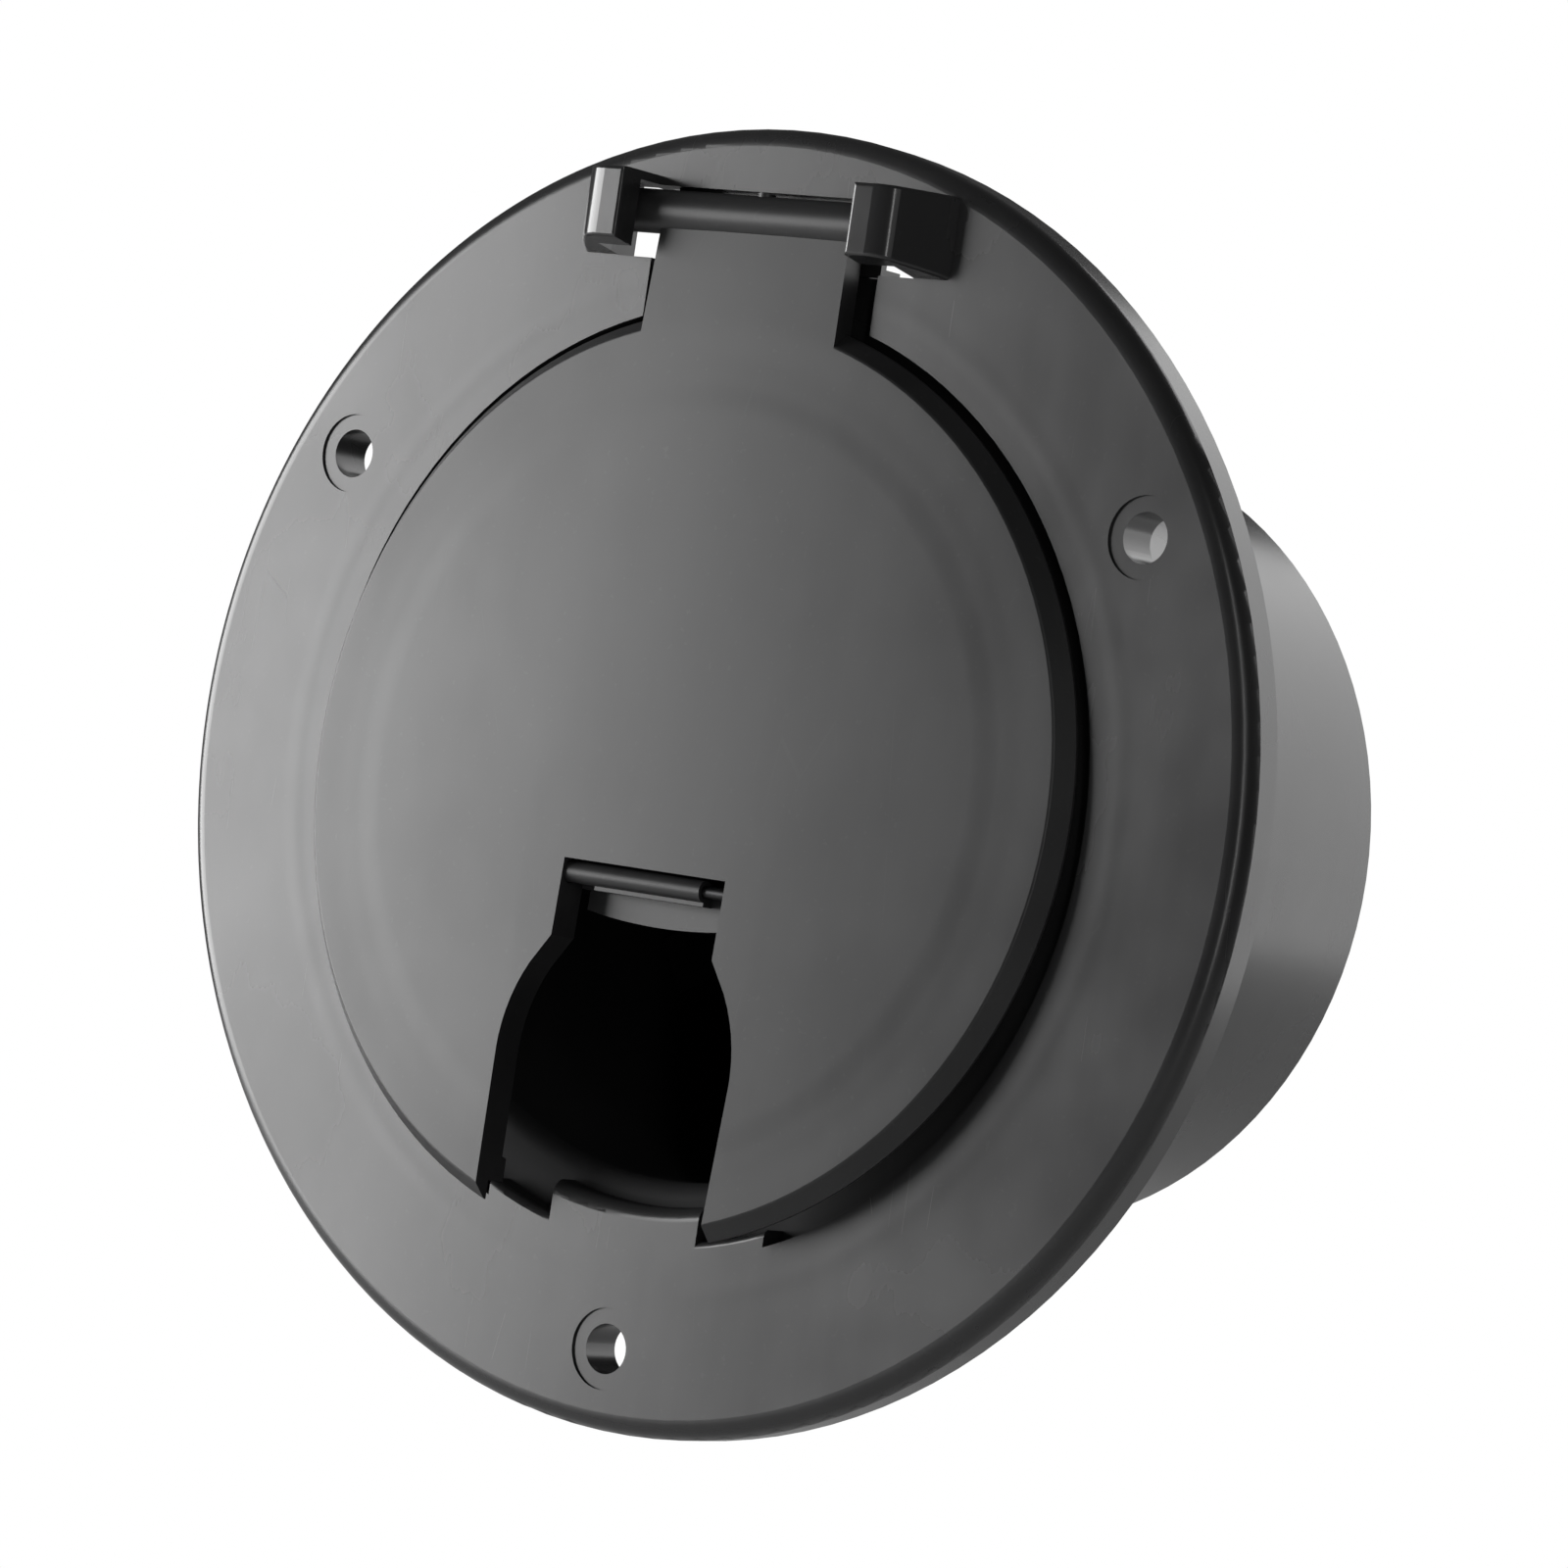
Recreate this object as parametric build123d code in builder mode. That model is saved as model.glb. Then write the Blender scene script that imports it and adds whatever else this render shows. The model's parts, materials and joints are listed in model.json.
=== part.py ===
"""Round wall hatch for an electric cord: a flanged tube, a hinged lid with a cord flap, a rear cover with a gland.

+Z is up, the front looks towards -Y, and the wall's outer face is the plane Y = 0.
The origin is the centre of the tube in that plane. Depths are counted backwards from the flange's front face.
"""
import os
from math import cos, pi, radians, sin

from build123d import *

os.makedirs("parts", exist_ok=True)

# Flange: a plate with a rim that stands back to the wall
FLANGE_R = 66.0
FLANGE_DEPTH = 5.0
PLATE_T = 2.6
RIM_T = 2.6
RIM_ROUND = 2.0
RIB_T = 1.6
RIB_COUNT = 12

# Screw holes, one straight below the centre and two above it
SCREW_PCD = 115.4
SCREW_R = 2.53
SCREW_DISH_R = 4.12
SCREW_DISH_DEPTH = 0.25
SCREW_BOSS_R = 6.2
SCREW_START_ANGLE = 30

# Recess that takes the lid, with the tube behind it
RECESS_R = 48.05
RECESS_DEPTH = 3.0
RECESS_WALL = 2.6
TUBE_R = 42.3
TUBE_WALL = 2.0
TUBE_END = 62.2
MOUTH_ROUND = 1.9

# Saddle that the cord lies on, with a shallow pocket each side of it
SADDLE_HALF_WIDTH = 9.3
SADDLE_R = 42.9
SADDLE_ROUND = 1.5
POCKET_HALF_WIDTH = 17.5
POCKET_R = 46.4
POCKET_ROUND = 0.7

# Lid hinge: a rod across the lid's tab, held in two hooks on the flange
HINGE_Z = 56.5
HINGE_OUT = 0.9
ROD_R = 2.25
ROD_HALF_LENGTH = 17.9
GATE_X = -0.2
GATE_R = 0.9
GATE_RISE = 0.25
JOURNAL_R = 1.6
JOURNAL_END = 20.3
SOCKET_R = 1.65
SOCKET_END = 20.6
HOOK_INNER = 14.35
HOOK_FLAT = 18.3
HOOK_OUTER = 22.9
HOOK_PROUD = 6.4
HOOK_BELLY = (20.84, 3.38)
HOOK_SHOULDER_ROUND = 3.4
HOOK_TOP = 60.2
HOOK_BASE = 51.9
HOOK_LIP = 53.0
HOOK_CAVITY_OUT = 3.45
HOOK_ROUND = 0.4
WINDOW_INNER = 13.3
WINDOW_OUTER = 18.6
WINDOW_LOW = 51.85
WINDOW_HIGH = 59.3
TROUGH_DEPTH = 1.75
HINGE_GROUND_HALF = 11.3
CHANNEL_HALF_WIDTH = 14.3

# Lid, which stands ajar by a few degrees
LID_AJAR = 2.4
LID_R = 45.75
LID_PROUD = 2.25
LID_T = 2.0
LID_CROWN_R = 737.0
LID_RIM_R = 47.2
LID_RIM_DROP = 1.7
LID_RIM_ROUND = 0.35
LID_SKIRT_R = 45.4
LID_SKIRT = 4.5
LID_SKIRT_T = 2.2
TAB_HALF_WIDTH_LOW = 12.2
TAB_HALF_WIDTH_HIGH = 11.8
TAB_T = 2.5
LID_RIB_T = 1.4
LID_RIB_DROP = 1.6
LID_RIB_RING_R = 30.0

# Notch in the lid for the cord, narrow at the top like the neck of a jar
NOTCH_TOP = -9.7
NOTCH_NECK_HALF = 10.2
NOTCH_NECK_LOW = -17.6
NOTCH_SHOULDER = (12.35, -20.7)
NOTCH_BULGE = (14.15, -24.9)
NOTCH_BODY_HALF = 14.75
NOTCH_BODY_HIGH = -30.5
NOTCH_MOUTH_HALF = 14.2
NOTCH_WALL_T = 2.6
NOTCH_WALL_DEEP = 3.8

# Cord flap on its pin across the neck of the notch
PIN_Z = -11.0
PIN_BELOW_FACE = 1.5
PIN_R = 0.6
PIN_HOLE_R = 0.61
PIN_LEFT = -12.4
PIN_RIGHT = 12.0
KNUCKLE_R = 1.1
KNUCKLE_BORE_R = 0.65
KNUCKLE_LEFT = -11.8
KNUCKLE_RIGHT = 6.9
KNUCKLE_SOCKET_R = 1.2
KNUCKLE_SOCKET_END = -11.9
FLAP_OPEN = 90.0
FLAP_T = 2.0
FLAP_TIP_R = 40.3
FLAP_GAP = 0.6
FLAP_CORNER = -1.4
FLAP_MOUTH_LOW = -33.0
FLAP_LIP_NEAR = 2.4
FLAP_LIP_T = 1.2
FLAP_LIP_HALF = 9.2
FLAP_LIP_OUT = 2.0
FLAP_LIP_BULGE = 0.7

# Rear cover, let into the tube on a shelf
SHELF_R = 37.6
SHELF_DEPTH = 54.7
SHELF_T = 2.0
GASKET_T = 1.0
GASKET_INNER_R = 32.4
COVER_R = 40.0
COVER_T = 2.6
COVER_SCREW_R = 36.3
COVER_SCREW_ANGLE = 90
COVER_BOSS_R = 3.2
COVER_BOSS_LENGTH = 9.0
COVER_HOLE_R = 1.8
COVER_RIM_T = 1.8
COVER_RIB_T = 1.6
COVER_RIB_RISE = 1.2
COVER_PAD_R = 21.5
TAPPING_R = 1.5
TAPPING_LENGTH = 10.0
TAPPING_HEAD_R = 3.0
TAPPING_HEAD_H = 1.7

# Cord gland, for a cord 18 mm across
GLAND_THREAD_R = 16.0
GLAND_HOLE_R = 16.2
GLAND_BORE_R = 11.0
GLAND_HEX = 38.0
GLAND_HEX_T = 5.5
GLAND_STUB = 10.0
GLAND_NECK_R = 15.2
GLAND_NECK_LENGTH = 7.0
GLAND_SEAT_R = 12.6
GLAND_CLAW_LENGTH = 7.0
GLAND_CLAW_R = 14.0
GLAND_CLAW_SLOTS = 8
WASHER_R = 20.0
WASHER_T = 1.2
LOCKNUT_HEX = 39.0
LOCKNUT_T = 5.0
BUSH_BORE_R = 9.0
BUSH_R = 12.5
BUSH_LENGTH = 11.0
DOME_HEX = 36.0
DOME_LENGTH = 21.0
DOME_BARREL = 12.0
DOME_MOUTH_R = 10.4
DOME_WALL = 1.4

# Frames. In FACE, x is across, y is up and z points out of the wall from the flange's front face.
FACE = Plane(origin=(0, -FLANGE_DEPTH, 0), x_dir=(1, 0, 0), z_dir=(0, -1, 0))
AJAR = radians(LID_AJAR)
# LID has its origin on the hinge rod's axis and leans out with the lid.
LID = Plane(
    origin=(0, -FLANGE_DEPTH - HINGE_OUT, HINGE_Z),
    x_dir=(1, 0, 0),
    z_dir=(0, -cos(AJAR), sin(AJAR)),
)
LID_FACE = LID_PROUD - HINGE_OUT
LID_CENTRE_Y = -HINGE_Z
PIN_Y = PIN_Z + LID_CENTRE_Y
PIN_OUT = LID_FACE - PIN_BELOW_FACE
# FLAP has its origin on the pin's axis: y points from the flap's tip to the pin, z out of the flap's front.
SWING = radians(FLAP_OPEN)
FLAP = Plane(
    origin=LID.from_local_coords((0, PIN_Y, PIN_OUT)),
    x_dir=(1, 0, 0),
    z_dir=LID.z_dir * cos(SWING) - LID.y_dir * sin(SWING),
)


def across(plane, y, z, x=0.0):
    """A plane square to the X axis through the point (x, y, z) of the given plane."""
    return Plane(origin=plane.from_local_coords((x, y, z)), x_dir=plane.y_dir, z_dir=plane.x_dir)


# ---------------------------------------------------------------- housing
def hinge_keep():
    """Sketch of the solid ground behind the hinge, where the plate isn't hollowed."""
    channel_wall = CHANNEL_HALF_WIDTH + RECESS_WALL
    with Locations((0, (RECESS_R - 4 + WINDOW_LOW) / 2)):
        Rectangle(2 * channel_wall, WINDOW_LOW - RECESS_R + 4, mode=Mode.SUBTRACT)
    with Locations((0, (WINDOW_LOW + HOOK_TOP) / 2)):
        Rectangle(2 * HINGE_GROUND_HALF, HOOK_TOP + 1 - WINDOW_LOW, mode=Mode.SUBTRACT)


with BuildPart() as housing:
    # the flange as a full disc, its front edge rounded
    with BuildSketch(FACE):
        Circle(FLANGE_R)
    extrude(amount=-FLANGE_DEPTH)
    fillet(housing.edges().filter_by(GeomType.CIRCLE).sort_by(Axis.Y)[0], RIM_ROUND)
    # hollow behind the plate, with ribs and screw bosses left standing
    with BuildSketch(FACE.offset(-FLANGE_DEPTH)):
        Circle(FLANGE_R - RIM_T)
        Circle(RECESS_R + RECESS_WALL, mode=Mode.SUBTRACT)
        with PolarLocations(SCREW_PCD / 2, 3, start_angle=SCREW_START_ANGLE):
            Circle(SCREW_BOSS_R, mode=Mode.SUBTRACT)
        with PolarLocations((FLANGE_R + RECESS_R) / 2, RIB_COUNT, start_angle=15):
            Rectangle(FLANGE_R - RECESS_R, RIB_T, mode=Mode.SUBTRACT)
        hinge_keep()
    extrude(amount=FLANGE_DEPTH - PLATE_T, mode=Mode.SUBTRACT)
    # tube
    with BuildSketch(FACE.offset(-FLANGE_DEPTH)):
        Circle(TUBE_R)
    extrude(amount=-(TUBE_END - FLANGE_DEPTH))
    # recess for the lid, and the channel for its tab
    with BuildSketch(FACE):
        Circle(RECESS_R)
        with Locations((0, (RECESS_R - 6 + WINDOW_LOW) / 2)):
            Rectangle(2 * CHANNEL_HALF_WIDTH, WINDOW_LOW - RECESS_R + 6)
    extrude(amount=-RECESS_DEPTH, mode=Mode.SUBTRACT)
    with BuildSketch(FACE):
        Circle(TUBE_R - TUBE_WALL)
    extrude(amount=-TUBE_END, mode=Mode.SUBTRACT)
    mouth = housing.edges().filter_by(GeomType.CIRCLE).filter_by(
        lambda e: abs(e.radius - TUBE_R + TUBE_WALL) < 0.01 and e.center().Y < 0
    )
    fillet(mouth, MOUTH_ROUND)
    # cord saddle and the pockets beside it
    with BuildSketch(FACE.offset(-RECESS_DEPTH)):
        Circle(RECESS_R + 0.4)
        Circle(POCKET_R, mode=Mode.SUBTRACT)
        with Locations((0, -RECESS_R)):
            Rectangle(2 * POCKET_HALF_WIDTH, 14, mode=Mode.INTERSECT)
    extrude(amount=RECESS_DEPTH)
    with BuildSketch(FACE.offset(-RECESS_DEPTH)):
        Circle(RECESS_R + 0.4)
        Circle(SADDLE_R, mode=Mode.SUBTRACT)
        with Locations((0, -RECESS_R)):
            Rectangle(2 * SADDLE_HALF_WIDTH, 14, mode=Mode.INTERSECT)
    extrude(amount=RECESS_DEPTH)
    saddle_edge = housing.edges().filter_by(GeomType.CIRCLE).filter_by(
        lambda e: abs(e.radius - SADDLE_R) < 0.01 and e.center().Y < 0.1 - FLANGE_DEPTH
    )
    fillet(saddle_edge.sort_by(Axis.Y)[0], SADDLE_ROUND)
    pocket_edges = housing.edges().filter_by(GeomType.CIRCLE).filter_by(
        lambda e: abs(e.radius - POCKET_R) < 0.01
    )
    fillet(pocket_edges.group_by(Axis.Y)[0], POCKET_ROUND)
    # trough behind the hinge rod, with a window through the plate behind each hook
    with BuildSketch(FACE):
        with Locations((0, (WINDOW_LOW + WINDOW_HIGH) / 2)):
            Rectangle(2 * WINDOW_OUTER, WINDOW_HIGH - WINDOW_LOW)
    extrude(amount=-TROUGH_DEPTH, mode=Mode.SUBTRACT)
    # hooks, sloping outwards, each with a cavity open to the back, the inside and below
    with BuildSketch(Plane(origin=(0, -FLANGE_DEPTH, HOOK_TOP), x_dir=(1, 0, 0), z_dir=(0, 0, -1))) as hooks:
        with BuildLine():
            Polyline(
                (HOOK_OUTER, 0),
                (HOOK_OUTER, -1),
                (HOOK_INNER, -1),
                (HOOK_INNER, HOOK_PROUD),
                (HOOK_FLAT, HOOK_PROUD),
            )
            ThreePointArc((HOOK_FLAT, HOOK_PROUD), HOOK_BELLY, (HOOK_OUTER, 0))
        make_face()
        shoulder = hooks.vertices().filter_by(lambda v: abs(v.X - HOOK_FLAT) < 0.01)
        fillet(shoulder, HOOK_SHOULDER_ROUND)
        mirror(about=Plane.YZ)
    extrude(amount=HOOK_TOP - HOOK_BASE)
    with BuildSketch(across(FACE, 0, 0, -HOOK_OUTER - 1)):
        with BuildLine():
            Polyline(
                (HOOK_BASE, 0),
                (HOOK_LIP, HOOK_PROUD),
                (HOOK_LIP, HOOK_PROUD + 1),
                (HOOK_BASE - 1, HOOK_PROUD + 1),
                (HOOK_BASE - 1, 0),
                close=True,
            )
        make_face()
    extrude(amount=2 * HOOK_OUTER + 2, mode=Mode.SUBTRACT)
    front_edges = housing.edges().filter_by(
        lambda e: e.center().Y < 0.2 - FLANGE_DEPTH - HOOK_PROUD
        and e.center().Z > HOOK_BASE
        and not (e.length > HOOK_ROUND * 8 and abs(e.center().X) > HOOK_INNER + 0.5)
    )
    fillet(front_edges, HOOK_ROUND)
    with BuildSketch(FACE.offset(HOOK_CAVITY_OUT)):
        for side in (-1, 1):
            with Locations((side * (WINDOW_INNER + WINDOW_OUTER) / 2, (WINDOW_LOW + WINDOW_HIGH) / 2)):
                Rectangle(WINDOW_OUTER - WINDOW_INNER, WINDOW_HIGH - WINDOW_LOW)
    extrude(amount=-HOOK_CAVITY_OUT - FLANGE_DEPTH, mode=Mode.SUBTRACT)
    # blind sockets for the ends of the rod
    with BuildSketch(across(FACE, HINGE_Z, HINGE_OUT, -SOCKET_END)):
        Circle(SOCKET_R)
    extrude(amount=SOCKET_END - WINDOW_OUTER + 0.5, mode=Mode.SUBTRACT)
    with BuildSketch(across(FACE, HINGE_Z, HINGE_OUT, SOCKET_END)):
        Circle(SOCKET_R)
    extrude(amount=-(SOCKET_END - WINDOW_OUTER + 0.5), mode=Mode.SUBTRACT)
    # screw holes, each in a shallow dish
    with Locations(FACE):
        with PolarLocations(SCREW_PCD / 2, 3, start_angle=SCREW_START_ANGLE):
            CounterBoreHole(SCREW_R, SCREW_DISH_R, SCREW_DISH_DEPTH, depth=FLANGE_DEPTH + 1)
    # shelf and screw bosses for the rear cover
    with BuildSketch(FACE.offset(-SHELF_DEPTH)):
        Circle(TUBE_R - TUBE_WALL + 0.5)
        Circle(SHELF_R, mode=Mode.SUBTRACT)
    extrude(amount=-SHELF_T)
    with BuildSketch(FACE.offset(-SHELF_DEPTH - SHELF_T)):
        with PolarLocations(COVER_SCREW_R, 3, start_angle=COVER_SCREW_ANGLE):
            Circle(COVER_BOSS_R)
        with PolarLocations(COVER_SCREW_R + 2.2, 3, start_angle=COVER_SCREW_ANGLE):
            Rectangle(4.6, 2 * COVER_BOSS_R)
    extrude(amount=COVER_BOSS_LENGTH)
    with BuildSketch(FACE.offset(-SHELF_DEPTH - SHELF_T)):
        with PolarLocations(COVER_SCREW_R, 3, start_angle=COVER_SCREW_ANGLE):
            Circle(TAPPING_R + 0.01)
    extrude(amount=COVER_BOSS_LENGTH - 1.0, mode=Mode.SUBTRACT)
housing.part.label = "housing"


# ---------------------------------------------------------------- lid
def notch_lines(gap, low):
    """Right-hand outline of the notch in the lid's own face, taken in by the gap, down to the height low."""
    neck = NOTCH_NECK_HALF - gap
    body = NOTCH_BODY_HALF - gap
    top = Line((0, LID_CENTRE_Y + NOTCH_TOP), (neck, LID_CENTRE_Y + NOTCH_TOP))
    side = Line(top @ 1, (neck, LID_CENTRE_Y + NOTCH_NECK_LOW - 0.4 * gap))
    shoulder = Line(side @ 1, (NOTCH_SHOULDER[0] - gap, LID_CENTRE_Y + NOTCH_SHOULDER[1] - 0.4 * gap))
    bulge = ThreePointArc(
        shoulder @ 1,
        (NOTCH_BULGE[0] - gap, LID_CENTRE_Y + NOTCH_BULGE[1]),
        (body, LID_CENTRE_Y + NOTCH_BODY_HIGH),
    )
    wall = Line(bulge @ 1, (NOTCH_MOUTH_HALF - gap, LID_CENTRE_Y + low))
    Line(wall @ 1, (0, LID_CENTRE_Y + low))


# the notch and a wider copy of it, for the wall that stands round it under the lid
with BuildSketch() as notch:
    with BuildLine():
        notch_lines(0.0, -LID_R - 4)
        mirror(about=Plane.YZ)
    make_face()
with BuildSketch() as notch_wall:
    with BuildLine():
        notch_lines(-NOTCH_WALL_T, -LID_R - 4)
        mirror(about=Plane.YZ)
    make_face()
    with Locations((0, LID_CENTRE_Y + NOTCH_TOP)):
        Rectangle(2 * (NOTCH_NECK_HALF + NOTCH_WALL_T), 2 * NOTCH_WALL_T)
    with Locations((0, LID_CENTRE_Y)):
        Circle(LID_SKIRT_R - 0.2, mode=Mode.INTERSECT)

LID_SECTION = Plane(
    origin=LID.from_local_coords((0, LID_CENTRE_Y, 0)), x_dir=(1, 0, 0), z_dir=LID.y_dir * -1
)


def crowned_sheet(thickness):
    """Sheet of that thickness with the lid's face on it, which falls off to both sides."""
    half = LID_R + 5
    edge = LID_FACE - half**2 / (2 * LID_CROWN_R)
    with BuildPart() as sheet:
        with BuildSketch(LID_SECTION.offset(-2 * LID_R)):
            with BuildLine():
                ThreePointArc((-half, edge), (0, LID_FACE), (half, edge))
                Line((half, edge), (half, edge - thickness))
                ThreePointArc((half, edge - thickness), (0, LID_FACE - thickness), (-half, edge - thickness))
                Line((-half, edge - thickness), (-half, edge))
            make_face()
        extrude(amount=4 * LID_R)
    return sheet.part


with BuildPart() as tab:
    with BuildSketch(LID.offset(LID_FACE + 1)):
        with BuildLine():
            Polyline(
                (-TAB_HALF_WIDTH_HIGH, 0),
                (TAB_HALF_WIDTH_HIGH, 0),
                (TAB_HALF_WIDTH_LOW, -14.5),
                (-TAB_HALF_WIDTH_LOW, -14.5),
                close=True,
            )
        make_face()
    extrude(amount=-8)
    add(crowned_sheet(TAB_T), mode=Mode.INTERSECT)

with BuildPart() as lid:
    # crowned disc with a sloping rim
    with BuildSketch(LID.offset(LID_FACE + 1)):
        with Locations((0, LID_CENTRE_Y)):
            Circle(LID_RIM_R)
    extrude(amount=-8)
    add(crowned_sheet(LID_T), mode=Mode.INTERSECT)
    face = lid.faces().sort_by(SortBy.AREA)[-2:].sort_by(Axis.Y)[0]
    chamfer(face.edges(), length=LID_RIM_R - LID_R, length2=LID_RIM_DROP, reference=face)
    face = lid.faces().filter_by(lambda f: f.area > 0.9 * pi * LID_R**2).sort_by(Axis.Y)[0]
    fillet(face.edges(), LID_RIM_ROUND)
    add(tab.part)
    # skirt
    with BuildSketch(LID.offset(LID_FACE - LID_SKIRT)):
        with Locations((0, LID_CENTRE_Y)):
            Circle(LID_SKIRT_R)
            Circle(LID_SKIRT_R - LID_SKIRT_T, mode=Mode.SUBTRACT)
    extrude(amount=LID_SKIRT - LID_T + 0.2)
    # wall round the notch
    with BuildSketch(LID.offset(LID_FACE - LID_T + 0.5)):
        add(notch_wall.sketch)
    extrude(amount=LID_T - NOTCH_WALL_DEEP - 0.5)
    # ribs under the face: a ring and spokes
    with BuildSketch(LID.offset(LID_FACE - LID_T - LID_RIB_DROP)):
        with Locations((0, LID_CENTRE_Y)):
            Circle(LID_RIB_RING_R + LID_RIB_T / 2)
            Circle(LID_RIB_RING_R - LID_RIB_T / 2, mode=Mode.SUBTRACT)
            with PolarLocations(LID_RIB_RING_R / 2 + 22, 8, start_angle=22.5):
                Rectangle(LID_SKIRT_R - LID_SKIRT_T - 29.0, LID_RIB_T)
    extrude(amount=LID_RIB_DROP + 0.2)
    with BuildSketch(LID.offset(LID_FACE + 2)):
        add(notch.sketch)
    extrude(amount=-LID_SKIRT - 4, mode=Mode.SUBTRACT)
    # hinge rod with its thinner ends
    with BuildSketch(across(LID, 0, 0, -ROD_HALF_LENGTH)):
        Circle(ROD_R)
    extrude(amount=2 * ROD_HALF_LENGTH)
    with BuildSketch(across(LID, 0, 0, -JOURNAL_END)):
        Circle(JOURNAL_R)
    extrude(amount=2 * JOURNAL_END)
    # mark of the moulding gate on top of the rod
    with BuildSketch(Plane(LID.from_local_coords((GATE_X, 0, 0)), x_dir=(1, 0, 0), z_dir=LID.y_dir)):
        Circle(GATE_R)
    extrude(amount=ROD_R + GATE_RISE)
    # socket for the flap's knuckle, and the hole for its pin
    with BuildSketch(across(LID, PIN_Y, PIN_OUT, KNUCKLE_SOCKET_END)):
        Circle(KNUCKLE_SOCKET_R)
    extrude(amount=-KNUCKLE_SOCKET_END - NOTCH_NECK_HALF + 0.5, mode=Mode.SUBTRACT)
    with BuildSketch(across(LID, PIN_Y, PIN_OUT, PIN_LEFT - 0.1)):
        Circle(PIN_HOLE_R)
    extrude(amount=PIN_RIGHT - PIN_LEFT + 0.2, mode=Mode.SUBTRACT)
lid.part.label = "lid"

# ---------------------------------------------------------------- cord flap and its pin
with BuildPart() as cord_flap:
    # plate, flush with the lid's face when shut, its tip an arc about the lid's centre
    with BuildSketch(FLAP.offset(PIN_BELOW_FACE)):
        with BuildLine():
            neck = NOTCH_NECK_HALF - FLAP_GAP
            body = NOTCH_BODY_HALF - FLAP_GAP
            Polyline((0, 0), (KNUCKLE_RIGHT, 0), (KNUCKLE_RIGHT, FLAP_CORNER), (neck, FLAP_CORNER))
            Line((neck, FLAP_CORNER), (neck, NOTCH_NECK_LOW - PIN_Z - 0.3))
            Line(
                (neck, NOTCH_NECK_LOW - PIN_Z - 0.3),
                (NOTCH_SHOULDER[0] - FLAP_GAP, NOTCH_SHOULDER[1] - PIN_Z - 0.5),
            )
            ThreePointArc(
                (NOTCH_SHOULDER[0] - FLAP_GAP, NOTCH_SHOULDER[1] - PIN_Z - 0.5),
                (NOTCH_BULGE[0] - FLAP_GAP, NOTCH_BULGE[1] - PIN_Z - 0.3),
                (body, NOTCH_BODY_HIGH - PIN_Z),
            )
            Line((body, NOTCH_BODY_HIGH - PIN_Z), (NOTCH_MOUTH_HALF - FLAP_GAP, FLAP_MOUTH_LOW))
            Line((NOTCH_MOUTH_HALF - FLAP_GAP, FLAP_MOUTH_LOW), (0, FLAP_MOUTH_LOW))
            Line((0, FLAP_MOUTH_LOW), (0, 0))
        make_face()
        mirror(about=Plane.YZ)
        with Locations((0, -PIN_Z)):
            Circle(FLAP_TIP_R, mode=Mode.INTERSECT)
    extrude(amount=-FLAP_T)
    # finger lip across the top of the front
    with BuildSketch(Plane(FLAP.from_local_coords((0, -FLAP_LIP_NEAR, 0)), x_dir=(1, 0, 0), z_dir=FLAP.y_dir * -1)):
        with BuildLine():
            sides = PIN_BELOW_FACE + FLAP_LIP_OUT
            Polyline(
                (-FLAP_LIP_HALF, sides),
                (-FLAP_LIP_HALF, PIN_BELOW_FACE - 0.5),
                (FLAP_LIP_HALF, PIN_BELOW_FACE - 0.5),
                (FLAP_LIP_HALF, sides),
            )
            ThreePointArc((-FLAP_LIP_HALF, sides), (0, sides + FLAP_LIP_BULGE), (FLAP_LIP_HALF, sides))
        make_face()
    extrude(amount=FLAP_LIP_T)
    # knuckle round the pin
    with BuildSketch(across(FLAP, 0, 0, KNUCKLE_LEFT)):
        Circle(KNUCKLE_R)
    extrude(amount=KNUCKLE_RIGHT - KNUCKLE_LEFT)
    with BuildSketch(across(FLAP, 0, 0, KNUCKLE_LEFT - 2)):
        Circle(KNUCKLE_BORE_R)
    extrude(amount=KNUCKLE_RIGHT - KNUCKLE_LEFT + 4, mode=Mode.SUBTRACT)
cord_flap.part.label = "cord_flap"

with BuildPart() as flap_pin:
    with BuildSketch(across(LID, PIN_Y, PIN_OUT, PIN_LEFT)):
        Circle(PIN_R)
    extrude(amount=PIN_RIGHT - PIN_LEFT)
    chamfer(flap_pin.edges().filter_by(GeomType.CIRCLE), 0.15)
flap_pin.part.label = "flap_pin"

# ---------------------------------------------------------------- rear cover, its gasket and screws
GASKET_DEPTH = SHELF_DEPTH + SHELF_T
COVER_DEPTH = GASKET_DEPTH + GASKET_T
COVER_BACK = COVER_DEPTH + COVER_T

with BuildPart() as cover_gasket:
    with BuildSketch(FACE.offset(-GASKET_DEPTH)):
        Circle(COVER_R)
        Circle(GASKET_INNER_R, mode=Mode.SUBTRACT)
        with PolarLocations(COVER_SCREW_R, 3, start_angle=COVER_SCREW_ANGLE):
            Circle(COVER_HOLE_R, mode=Mode.SUBTRACT)
    extrude(amount=-GASKET_T)
cover_gasket.part.label = "cover_gasket"

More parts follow.
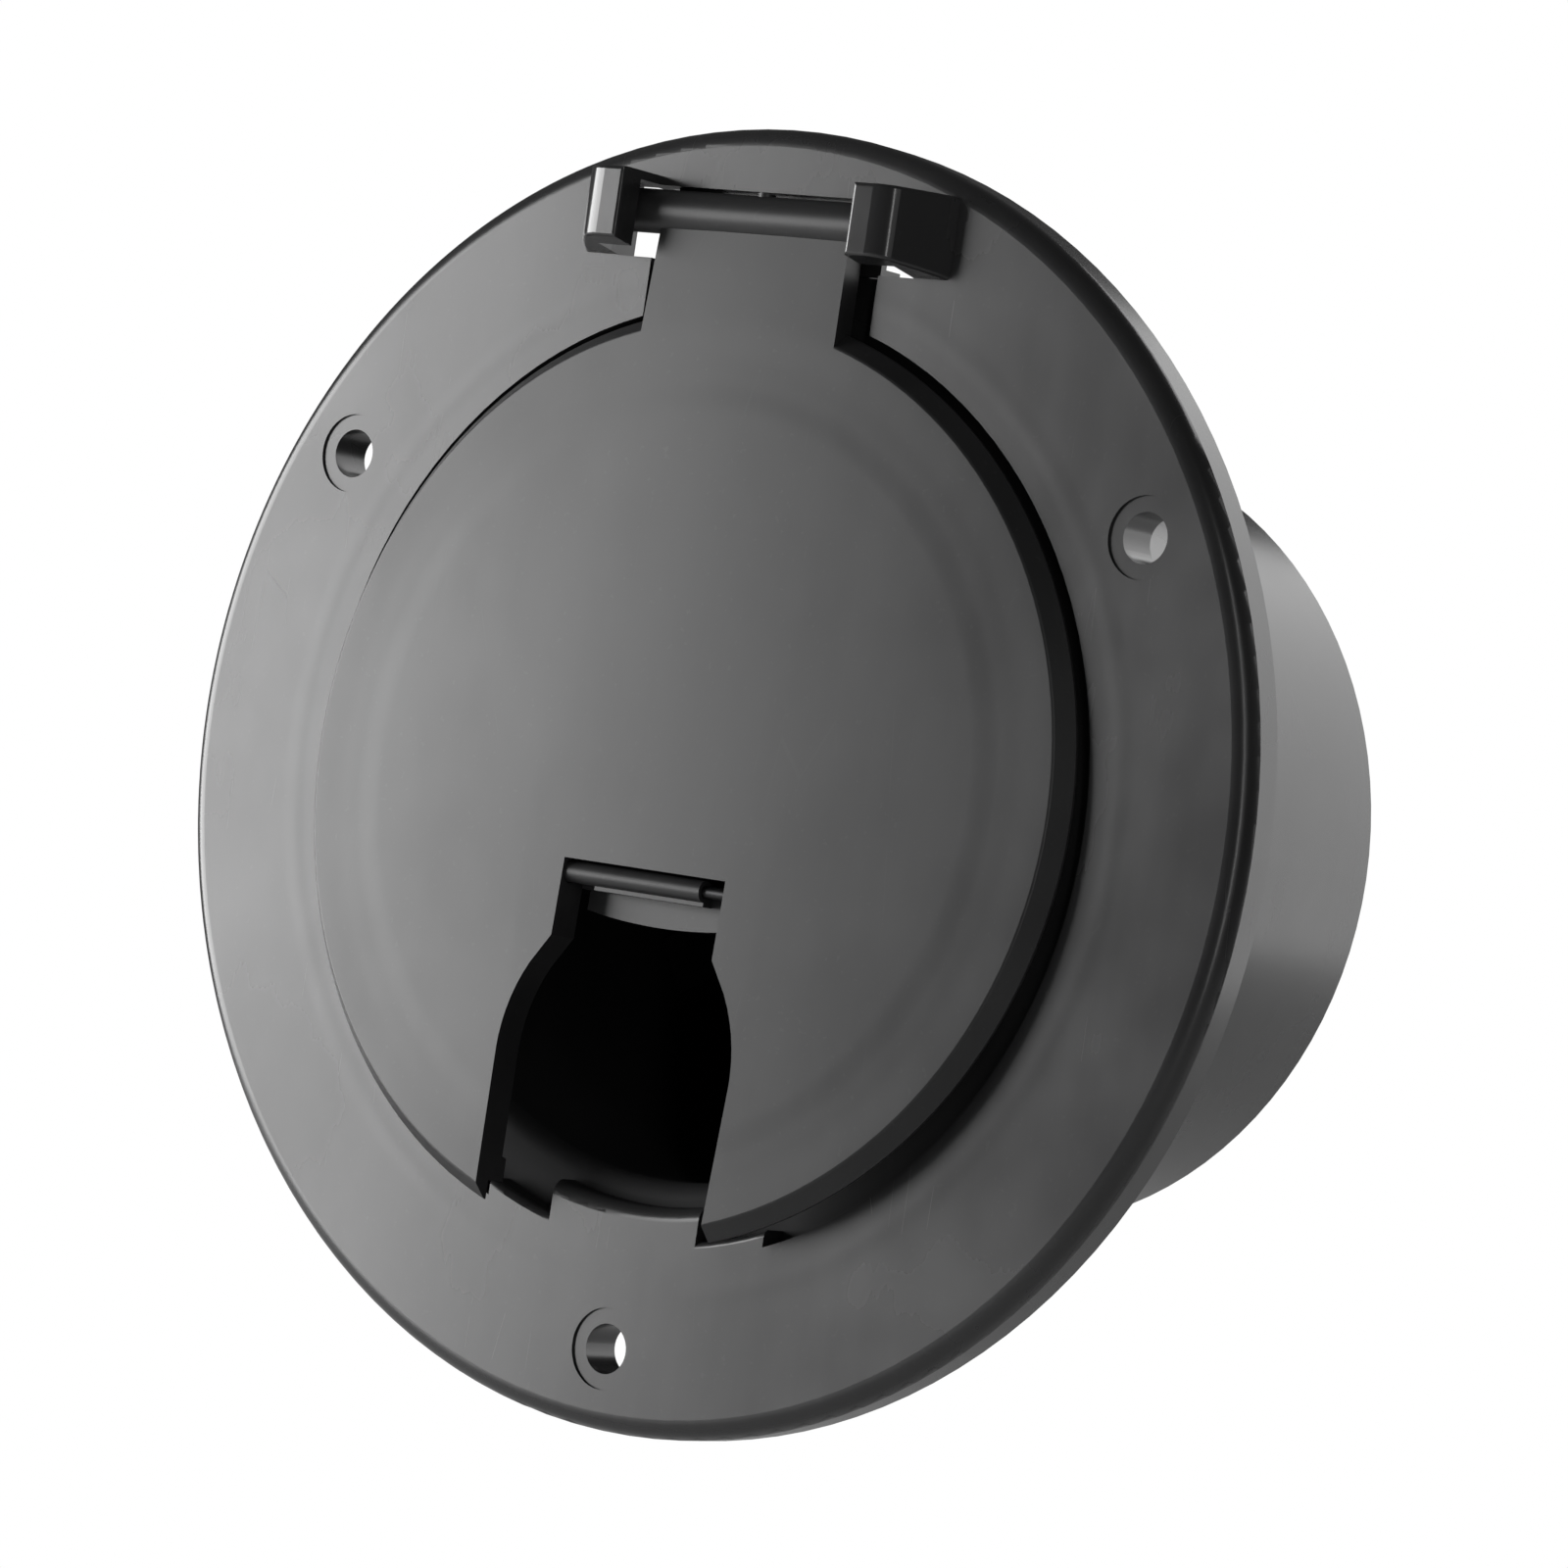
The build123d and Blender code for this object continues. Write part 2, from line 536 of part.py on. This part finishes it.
with BuildPart() as back_cover:
    with BuildSketch(FACE.offset(-COVER_DEPTH)):
        Circle(COVER_R)
    extrude(amount=-COVER_T)
    # a rim, a pad for the gland and spokes between them stand up on the rear
    with BuildSketch(FACE.offset(-COVER_BACK + 0.2)):
        Circle(COVER_R)
        Circle(COVER_R - COVER_RIM_T, mode=Mode.SUBTRACT)
        Circle(COVER_PAD_R)
        with PolarLocations((COVER_R + COVER_PAD_R) / 2 - 0.8, 6, start_angle=30 + COVER_SCREW_ANGLE):
            Rectangle(COVER_R - COVER_PAD_R + 0.6, COVER_RIB_T)
        with PolarLocations(COVER_SCREW_R, 3, start_angle=COVER_SCREW_ANGLE):
            Circle(TAPPING_HEAD_R + 0.6, mode=Mode.SUBTRACT)
    extrude(amount=-COVER_RIB_RISE - 0.2)
    with BuildSketch(FACE.offset(-COVER_DEPTH + 1)):
        Circle(GLAND_HOLE_R)
        with PolarLocations(COVER_SCREW_R, 3, start_angle=COVER_SCREW_ANGLE):
            Circle(COVER_HOLE_R)
    extrude(amount=-COVER_T - COVER_RIB_RISE - 2, mode=Mode.SUBTRACT)
back_cover.part.label = "back_cover"

with BuildPart() as cover_screws:
    with BuildSketch(FACE.offset(-COVER_BACK)):
        with PolarLocations(COVER_SCREW_R, 3, start_angle=COVER_SCREW_ANGLE):
            Circle(TAPPING_HEAD_R)
    extrude(amount=-TAPPING_HEAD_H)
    fillet(cover_screws.edges().group_by(Axis.Y)[-1], 0.9)
    with BuildSketch(FACE.offset(-COVER_BACK)):
        with PolarLocations(COVER_SCREW_R, 3, start_angle=COVER_SCREW_ANGLE):
            Circle(TAPPING_R)
    extrude(amount=TAPPING_LENGTH)
    # cross recess in each head
    with BuildSketch(FACE.offset(-COVER_BACK - TAPPING_HEAD_H)):
        with PolarLocations(COVER_SCREW_R, 3, start_angle=COVER_SCREW_ANGLE):
            Rectangle(3.2, 0.7)
            Rectangle(0.7, 3.2)
    extrude(amount=1.0, mode=Mode.SUBTRACT)
cover_screws.part.label = "cover_screws"

# ---------------------------------------------------------------- cord gland
PAD_BACK = COVER_BACK + COVER_RIB_RISE
HEX_DEPTH = PAD_BACK + WASHER_T
NECK_DEPTH = HEX_DEPTH + GLAND_HEX_T
CLAW_DEPTH = NECK_DEPTH + GLAND_NECK_LENGTH

with BuildPart() as gland_washer:
    with BuildSketch(FACE.offset(-PAD_BACK)):
        Circle(WASHER_R)
        Circle(GLAND_HOLE_R, mode=Mode.SUBTRACT)
    extrude(amount=-WASHER_T)
gland_washer.part.label = "gland_washer"

with BuildPart() as gland_body:
    with BuildSketch(FACE.offset(-HEX_DEPTH)):
        RegularPolygon(GLAND_HEX / 2, 6, major_radius=False)
    extrude(amount=-GLAND_HEX_T)
    with BuildSketch(FACE.offset(-HEX_DEPTH)):
        Circle(GLAND_THREAD_R)
    extrude(amount=PAD_BACK + WASHER_T - COVER_DEPTH + GLAND_STUB)
    with BuildSketch(FACE.offset(-NECK_DEPTH)):
        Circle(GLAND_NECK_R)
    extrude(amount=-GLAND_NECK_LENGTH)
    # claws that the dome nut closes round the bush
    with BuildSketch(FACE.offset(-CLAW_DEPTH)):
        Circle(GLAND_CLAW_R)
        with PolarLocations(GLAND_CLAW_R, GLAND_CLAW_SLOTS):
            Rectangle(6, 1.2, mode=Mode.SUBTRACT)
    extrude(amount=-GLAND_CLAW_LENGTH)
    with BuildSketch(FACE.offset(-COVER_DEPTH + GLAND_STUB + 2)):
        Circle(GLAND_BORE_R)
    extrude(amount=-100, mode=Mode.SUBTRACT)
    with BuildSketch(FACE.offset(-NECK_DEPTH - 2)):
        Circle(GLAND_SEAT_R)
    extrude(amount=-50, mode=Mode.SUBTRACT)
gland_body.part.label = "gland_body"

with BuildPart() as gland_locknut:
    with BuildSketch(FACE.offset(-COVER_DEPTH)):
        RegularPolygon(LOCKNUT_HEX / 2, 6, major_radius=False)
        Circle(GLAND_THREAD_R + 0.02, mode=Mode.SUBTRACT)
    extrude(amount=LOCKNUT_T)
gland_locknut.part.label = "gland_locknut"

with BuildPart() as gland_bush:
    with BuildSketch(FACE.offset(-NECK_DEPTH - 2)):
        Circle(BUSH_R)
        Circle(BUSH_BORE_R, mode=Mode.SUBTRACT)
    extrude(amount=-BUSH_LENGTH)
gland_bush.part.label = "gland_bush"

with BuildPart() as gland_nut:
    with BuildSketch(FACE.offset(-NECK_DEPTH)):
        RegularPolygon(DOME_HEX / 2, 6, major_radius=False)
    extrude(amount=-DOME_BARREL)
    with BuildSketch(FACE.offset(-NECK_DEPTH - DOME_BARREL)):
        Circle(DOME_HEX / 2 - 0.4)
    extrude(amount=-(DOME_LENGTH - DOME_BARREL))
    fillet(gland_nut.edges().group_by(Axis.Y)[-1], 5.5)
    # inside: a straight part over the neck, then a cone that closes the claws
    with BuildSketch(Plane(FACE.from_local_coords((0, 0, -NECK_DEPTH)), x_dir=(1, 0, 0), z_dir=(0, 0, 1))):
        with BuildLine():
            Polyline(
                (0, -1),
                (GLAND_NECK_R + 0.02, -1),
                (GLAND_NECK_R + 0.02, GLAND_NECK_LENGTH),
                (GLAND_CLAW_R + 0.3, GLAND_NECK_LENGTH + 1),
                (GLAND_CLAW_R + 0.3, GLAND_NECK_LENGTH + GLAND_CLAW_LENGTH + 0.3),
                (BUSH_R + 0.5, GLAND_NECK_LENGTH + GLAND_CLAW_LENGTH + 2),
                (DOME_MOUTH_R, DOME_LENGTH - DOME_WALL),
                (DOME_MOUTH_R, DOME_LENGTH + 1),
                (0, DOME_LENGTH + 1),
                close=True,
            )
        make_face()
    revolve(axis=Axis.Y, mode=Mode.SUBTRACT)
gland_nut.part.label = "gland_nut"

# ---------------------------------------------------------------- files
export_step(housing.part, "parts/housing.step")
export_step(lid.part, "parts/lid.step")
export_step(cord_flap.part, "parts/cord_flap.step")
export_step(flap_pin.part, "parts/flap_pin.step")
export_step(cover_gasket.part, "parts/cover_gasket.step")
export_step(back_cover.part, "parts/back_cover.step")
export_step(cover_screws.part, "parts/cover_screws.step")
export_step(gland_washer.part, "parts/gland_washer.step")
export_step(gland_body.part, "parts/gland_body.step")
export_step(gland_locknut.part, "parts/gland_locknut.step")
export_step(gland_bush.part, "parts/gland_bush.step")
export_step(gland_nut.part, "parts/gland_nut.step")
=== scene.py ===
"""Looks for the round wall hatch: satin black mouldings, soft studio light, and a camera to the right of it."""
import json
from math import cos, radians, sin

import bpy
from mathutils import Matrix, Vector

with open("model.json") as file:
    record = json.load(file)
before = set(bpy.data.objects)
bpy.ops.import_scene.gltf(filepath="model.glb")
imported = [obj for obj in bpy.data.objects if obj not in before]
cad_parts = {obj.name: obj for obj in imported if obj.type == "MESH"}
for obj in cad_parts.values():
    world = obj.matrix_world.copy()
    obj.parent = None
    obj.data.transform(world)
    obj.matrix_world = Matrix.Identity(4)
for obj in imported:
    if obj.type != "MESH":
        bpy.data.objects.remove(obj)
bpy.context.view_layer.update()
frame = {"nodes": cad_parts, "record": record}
nodes = frame["nodes"]
scene = bpy.context.scene


# ---------------------------------------------------------------- camera
CAMERA_AT = (0.38780, -0.51392, -0.00473)
CAMERA_RIGHT = (0.79661, 0.58679, 0.14522)
CAMERA_UP = (-0.11171, -0.09320, 0.98936)
CAMERA_BACK = (0.59408, -0.80436, -0.00870)
CAMERA_LENS = 146.67
CAMERA_SENSOR = 36.0

camera = bpy.data.objects.new("camera", bpy.data.cameras.new("camera"))
camera.data.sensor_width = CAMERA_SENSOR
camera.data.lens = CAMERA_LENS
camera.data.clip_start = 0.01
camera.matrix_world = Matrix.Translation(CAMERA_AT) @ Matrix(
    (CAMERA_RIGHT, CAMERA_UP, CAMERA_BACK)
).transposed().to_4x4()
scene.collection.objects.link(camera)
scene.camera = camera


# ---------------------------------------------------------------- light, backdrop and floor
def direction(azimuth, elevation):
    """Unit vector from the object towards an azimuth, 0 in front and 90 to the right, and an elevation."""
    a, e = radians(azimuth), radians(elevation)
    return Vector((sin(a) * cos(e), -cos(a) * cos(e), sin(e)))


def softbox(name, azimuth, elevation, distance, width, height, radiance):
    """Rectangular light facing the object, unseen by the camera, with its power worked out from its radiance."""
    data = bpy.data.lights.new(name, "AREA")
    data.shape = "RECTANGLE"
    data.size = width
    data.size_y = height
    data.energy = radiance * width * height * 4
    light = bpy.data.objects.new(name, data)
    towards = direction(azimuth, elevation)
    light.location = towards * distance
    light.rotation_euler = towards.to_track_quat("Z", "Y").to_euler()
    light.visible_camera = False
    scene.collection.objects.link(light)


softbox("key_left", azimuth=-60.5, elevation=0.5, distance=1.2, width=0.92, height=0.6, radiance=8.7)
softbox("strip_right", azimuth=43, elevation=5, distance=1.3, width=0.07, height=1.4, radiance=6.0)
softbox("wall_right", azimuth=54, elevation=5, distance=1.3, width=0.26, height=1.3, radiance=0.35)
softbox("rear_right", azimuth=163, elevation=16, distance=1.3, width=1.15, height=1.6, radiance=1.95)

# A dim room lights the object, and the camera sees a white backdrop instead of it.
ROOM_STRENGTH = 0.08
BACKDROP_STRENGTH = 1.0

world = bpy.data.worlds.new("studio")
world.use_nodes = True
scene.world = world
tree = world.node_tree
tree.nodes.clear()
out = tree.nodes.new("ShaderNodeOutputWorld")
mix = tree.nodes.new("ShaderNodeMixShader")
path = tree.nodes.new("ShaderNodeLightPath")
tree.links.new(path.outputs["Is Camera Ray"], mix.inputs[0])
for strength, slot in ((ROOM_STRENGTH, 1), (BACKDROP_STRENGTH, 2)):
    background = tree.nodes.new("ShaderNodeBackground")
    background.inputs["Color"].default_value = (1, 1, 1, 1)
    background.inputs["Strength"].default_value = strength
    tree.links.new(background.outputs[0], mix.inputs[slot])
tree.links.new(mix.outputs[0], out.inputs[0])
scene.view_settings.view_transform = "Standard"


FLOOR_RADIUS = 1.1
FLOOR_Z = -0.25


def disc(name, reach, z, steps=96):
    mesh = bpy.data.meshes.new(name)
    turns = [radians(360 * i / steps) for i in range(steps)]
    ring = [(reach * cos(turn), reach * sin(turn), z) for turn in turns]
    mesh.from_pydata(ring, [], [list(range(steps))])
    obj = bpy.data.objects.new(name, mesh)
    scene.collection.objects.link(obj)
    return obj


floor = disc("floor", FLOOR_RADIUS, FLOOR_Z)


# ---------------------------------------------------------------- materials
class Shader:
    """A procedural material: a Principled shader with a few helpers to feed it."""

    def __init__(self, name, **sockets):
        self.material = bpy.data.materials.new(name)
        self.material.use_nodes = True
        self.tree = self.material.node_tree
        self.bsdf = self.tree.nodes["Principled BSDF"]
        for socket, value in sockets.items():
            self.bsdf.inputs[socket.replace("_", " ")].default_value = value
        self.object_space = self.add("ShaderNodeTexCoord").outputs["Object"]
        self.height = None

    def add(self, kind, **fields):
        node = self.tree.nodes.new(kind)
        for field, value in fields.items():
            setattr(node, field, value)
        return node

    def link(self, a, b):
        self.tree.links.new(a, b)

    def stretched(self, scale, turn=(0, 0, 0)):
        node = self.add("ShaderNodeMapping")
        node.inputs["Scale"].default_value = scale
        node.inputs["Rotation"].default_value = [radians(t) for t in turn]
        self.link(self.object_space, node.inputs["Vector"])
        return node.outputs["Vector"]

    def noise(self, scale, detail=2.0, roughness=0.5, vector=None):
        node = self.add("ShaderNodeTexNoise")
        node.inputs["Scale"].default_value = scale
        node.inputs["Detail"].default_value = detail
        node.inputs["Roughness"].default_value = roughness
        self.link(vector or self.object_space, node.inputs["Vector"])
        return node.outputs["Fac"]

    def cracks(self, scale, vector):
        """Distance to the edges of a cell pattern: thin lines where it is near zero."""
        node = self.add("ShaderNodeTexVoronoi", feature="DISTANCE_TO_EDGE")
        node.inputs["Scale"].default_value = scale
        self.link(vector, node.inputs["Vector"])
        return node.outputs["Distance"]

    def remap(self, value, low, high, to_low=0.0, to_high=1.0, smooth=True):
        node = self.add("ShaderNodeMapRange", interpolation_type="SMOOTHSTEP" if smooth else "LINEAR")
        node.inputs["From Min"].default_value = low
        node.inputs["From Max"].default_value = high
        node.inputs["To Min"].default_value = to_low
        node.inputs["To Max"].default_value = to_high
        self.link(value, node.inputs["Value"])
        return node.outputs["Result"]

    def math(self, operation, a, b=0.0, clamp=False):
        node = self.add("ShaderNodeMath", operation=operation, use_clamp=clamp)
        for value, socket in ((a, node.inputs[0]), (b, node.inputs[1])):
            if isinstance(value, (int, float)):
                socket.default_value = value
            else:
                self.link(value, socket)
        return node.outputs["Value"]

    def colour(self, factor, low, high):
        """Base colour running from low to high with the factor."""
        node = self.add("ShaderNodeMix", data_type="RGBA")
        node.inputs[6].default_value = (*low, 1)
        node.inputs[7].default_value = (*high, 1)
        self.link(factor, node.inputs[0])
        self.link(node.outputs[2], self.bsdf.inputs["Base Color"])

    def rough(self, factor, low, high):
        self.link(self.remap(factor, 0, 1, low, high, smooth=False), self.bsdf.inputs["Roughness"])

    def bump(self, value, height_mm):
        """Adds relief of that height to what is there already."""
        node = self.add("ShaderNodeBump")
        node.inputs["Strength"].default_value = 1.0
        node.inputs["Distance"].default_value = height_mm / 1000
        self.link(value, node.inputs["Height"])
        if self.height:
            self.link(self.height, node.inputs["Normal"])
        self.height = node.outputs["Normal"]
        self.link(self.height, self.bsdf.inputs["Normal"])


def moulded(name, base, dust, rough, streaks, relief=None, shine=0.5):
    """Moulded black plastic: slow waviness, a fine grain, and handling marks as strong as streaks says."""
    s = Shader(name, IOR=1.5, Specular_IOR_Level=shine)
    cloud = s.remap(s.noise(38, 3, 0.55), 0.3, 0.75)
    wipe = s.noise(1.0, 3, 0.6, s.stretched((420, 420, 30), (0, 9, 0)))
    speck = s.remap(s.noise(1500, 2, 0.5), 0.66, 0.74)
    hair = s.remap(s.cracks(1.0, s.stretched((150, 150, 14), (0, 24, 0))), 0.0, 0.004, 1.0, 0.0)
    marks = s.math("MULTIPLY", hair, s.remap(s.noise(90, 2), 0.50, 0.66))
    grime = s.math("ADD", s.math("MULTIPLY", cloud, 0.7), s.math("MULTIPLY", wipe, 0.3))
    dusty = s.math("ADD", s.math("MULTIPLY", marks, 0.8 * streaks), s.math("MULTIPLY", speck, 0.7 * streaks))
    s.colour(s.math("ADD", grime, dusty, clamp=True), base, dust)
    s.rough(s.math("ADD", grime, s.math("MULTIPLY", marks, 0.4), clamp=True), *rough)
    s.bump(s.noise(150, 2, 0.5), 0.010)
    s.bump(s.noise(700, 3, 0.55), 0.0014)
    s.bump(wipe, 0.0015 * streaks)
    if relief:
        relief(s)
    return s.material


def radius(s):
    """Distance from the tube's axis, in metres."""
    across = s.add("ShaderNodeVectorMath", operation="MULTIPLY")
    s.link(s.object_space, across.inputs[0])
    across.inputs[1].default_value = (1, 0, 1)
    length = s.add("ShaderNodeVectorMath", operation="LENGTH")
    s.link(across.outputs["Vector"], length.inputs[0])
    return length.outputs["Value"]


# Where the finish of the lid and the housing changes, in metres
LID_DIP = (0.0366, 0.0398)
LID_RISE = (0.0415, 0.0462)
SINK_LINE = (0.0500, 0.0515, 0.0532)
RECESS_EDGE = (0.0483, 0.0487)
RECESS_Y = (-0.0049, -0.0036)
RECESS_END_Y = (0.0, 0.0005)
TUBE_INSIDE = (0.0412, 0.0416)
HOOK_Y = (-0.0066, -0.0058)
HOOK_Z = (0.0495, 0.0515)
HOOK_POLISH = 0.12
RECESS_MATT = 0.35
RECESS_SHINE = 0.08
FLANGE_SHINE = 0.5


def lid_relief(s):
    """A ring that runs just inside the lid's edge: down a little, then up again."""
    r = radius(s)
    s.bump(s.remap(r, *LID_DIP, 1, 0), 0.035)
    s.bump(s.remap(r, *LID_RISE), 0.040)


def housing_relief(s):
    """A sink line over the recess wall, a matt recess and tube, and shinier hooks."""
    r = radius(s)
    s.bump(s.math("MULTIPLY", s.remap(r, *SINK_LINE[:2]), s.remap(r, *SINK_LINE[1:], 1, 0)), 0.006)
    split = s.add("ShaderNodeSeparateXYZ")
    s.link(s.object_space, split.inputs[0])
    y, z = split.outputs["Y"], split.outputs["Z"]
    sunk = s.remap(y, *RECESS_Y)
    step = s.math("MULTIPLY", sunk, s.remap(r, *RECESS_EDGE, 1, 0))
    step = s.math("MULTIPLY", step, s.remap(y, *RECESS_END_Y, 1, 0))
    inside = s.math("MAXIMUM", step, s.math("MULTIPLY", sunk, s.remap(r, *TUBE_INSIDE, 1, 0)))
    hooks = s.math("MULTIPLY", s.remap(y, *HOOK_Y, 1, 0), s.remap(z, *HOOK_Z))
    rough = s.bsdf.inputs["Roughness"].links[0].from_socket
    rough = s.math("SUBTRACT", rough, s.math("MULTIPLY", hooks, HOOK_POLISH))
    s.link(s.math("ADD", rough, s.math("MULTIPLY", inside, RECESS_MATT)), s.bsdf.inputs["Roughness"])
    s.link(s.remap(inside, 0, 1, FLANGE_SHINE, RECESS_SHINE), s.bsdf.inputs["Specular IOR Level"])


MATERIALS = {
    "moulding": moulded(
        "moulding", (0.017, 0.017, 0.0175), (0.026, 0.026, 0.0265), (0.22, 0.31), 0.5, housing_relief
    ),
    "lid_moulding": moulded(
        "lid_moulding", (0.015, 0.015, 0.0155), (0.027, 0.027, 0.0275), (0.33, 0.42), 1.0, lid_relief, 0.40
    ),
    "gland_nylon": moulded("gland_nylon", (0.024, 0.024, 0.0245), (0.036, 0.036, 0.0365), (0.46, 0.56), 0.3),
}


def rubber():
    s = Shader("rubber", IOR=1.48)
    s.colour(s.noise(160, 3), (0.018, 0.018, 0.018), (0.034, 0.034, 0.034))
    s.rough(s.noise(420, 3), 0.62, 0.8)
    s.bump(s.noise(1400, 3, 0.6), 0.006)
    return s.material


def turned_metal(name, low, high, rough):
    s = Shader(name, Metallic=1.0)
    rings = s.noise(1.0, 3, 0.6, s.stretched((300, 3200, 300)))
    s.colour(s.noise(240, 3), low, high)
    s.rough(rings, *rough)
    s.bump(rings, 0.003)
    return s.material


MATERIALS["rubber"] = rubber()
MATERIALS["screws"] = turned_metal("screws", (0.50, 0.50, 0.51), (0.66, 0.66, 0.67), (0.22, 0.38))
MATERIALS["pin"] = turned_metal("pin", (0.035, 0.035, 0.036), (0.06, 0.06, 0.061), (0.34, 0.46))

for part in frame["record"]["subparts"]:
    node = nodes[part["node"]]
    node.data.materials.clear()
    node.data.materials.append(MATERIALS[part["material_slot"]])


def plain(name, colour, roughness):
    s = Shader(name, Roughness=roughness)
    s.colour(s.noise(3, 2), [c * 0.98 for c in colour], colour)
    return s.material


floor.data.materials.append(plain("floor", (0.82, 0.82, 0.82), 0.7))
